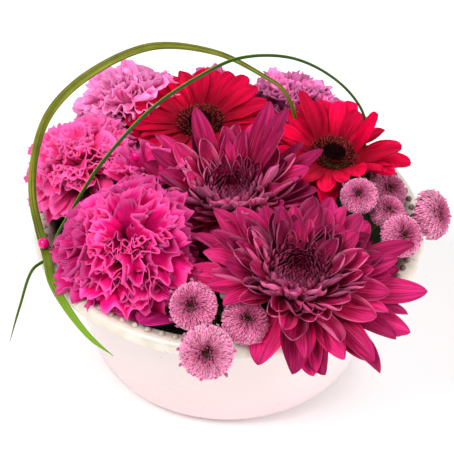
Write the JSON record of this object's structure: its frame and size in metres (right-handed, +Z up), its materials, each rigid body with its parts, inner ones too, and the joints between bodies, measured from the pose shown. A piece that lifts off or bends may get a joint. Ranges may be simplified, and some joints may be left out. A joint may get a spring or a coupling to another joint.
{
  "type": "floral table centerpiece",
  "caption": "Low round ceramic bowl filled with cut flowers: magenta mums, red gerberas, pink carnations and small button mums under arching grass blades.",
  "frame": {"origin": "centre of the bowl's flat foot, on the surface it stands on", "axes": "+Z up; -Y is the front, where the large mum hangs over the rim; +X is to the right seen from the front"},
  "size_m": [0.2429, 0.257, 0.195],
  "materials": {
    "ceramic": "glossy glaze",
    "foam": "matte, fine-grained, wet",
    "mum": "satin petal",
    "gerbera": "satin petal",
    "gerbera_disc": "matte",
    "carnation": "matte petal",
    "button": "satin petal",
    "green": "satin",
    "leaf": "satin",
    "grass": "satin",
    "pearl_pink": "pearly gloss",
    "pearl_white": "pearly gloss"
  },
  "bodies": {
    "root": {"bowl": "ceramic", "foam": "foam", "mum_middle_petals": "mum", "mum_middle_stem": "green", "mum_front_petals": "mum", "mum_front_stem": "green", "gerbera_back_rays": "gerbera", "gerbera_back_disc": "gerbera_disc", "gerbera_back_stem": "green", "gerbera_right_rays": "gerbera", "gerbera_right_disc": "gerbera_disc", "gerbera_right_stem": "green", "carnation_inner_petals": "carnation", "carnation_inner_stem": "green", "carnation_front_petals": "carnation", "carnation_front_stem": "green", "carnation_left_petals": "carnation", "carnation_left_stem": "green", "carnation_back_left_petals": "carnation", "carnation_back_left_stem": "green", "carnation_back_petals": "carnation", "carnation_back_stem": "green", "carnation_back_right_petals": "carnation", "carnation_back_right_stem": "green", "button_front_left": "button", "button_front_low": "button", "button_front_right": "button", "button_right_outer": "button", "button_right_back": "button", "button_right_inner": "button", "button_right_middle": "button", "button_right_front": "button", "spray_front_stem": "green", "spray_right_stem": "green", "leaf_front": "leaf", "leaf_front_right": "leaf", "leaf_right": "leaf", "leaf_back": "leaf", "leaf_back_left": "leaf", "leaf_left": "leaf", "tucked_petal": "mum", "grass_wide": "grass", "grass_narrow": "grass", "pin_rim": "pearl_pink", "pin_inner": "pearl_pink", "pin_front": "pearl_white"}
  },
  "joints": []
}
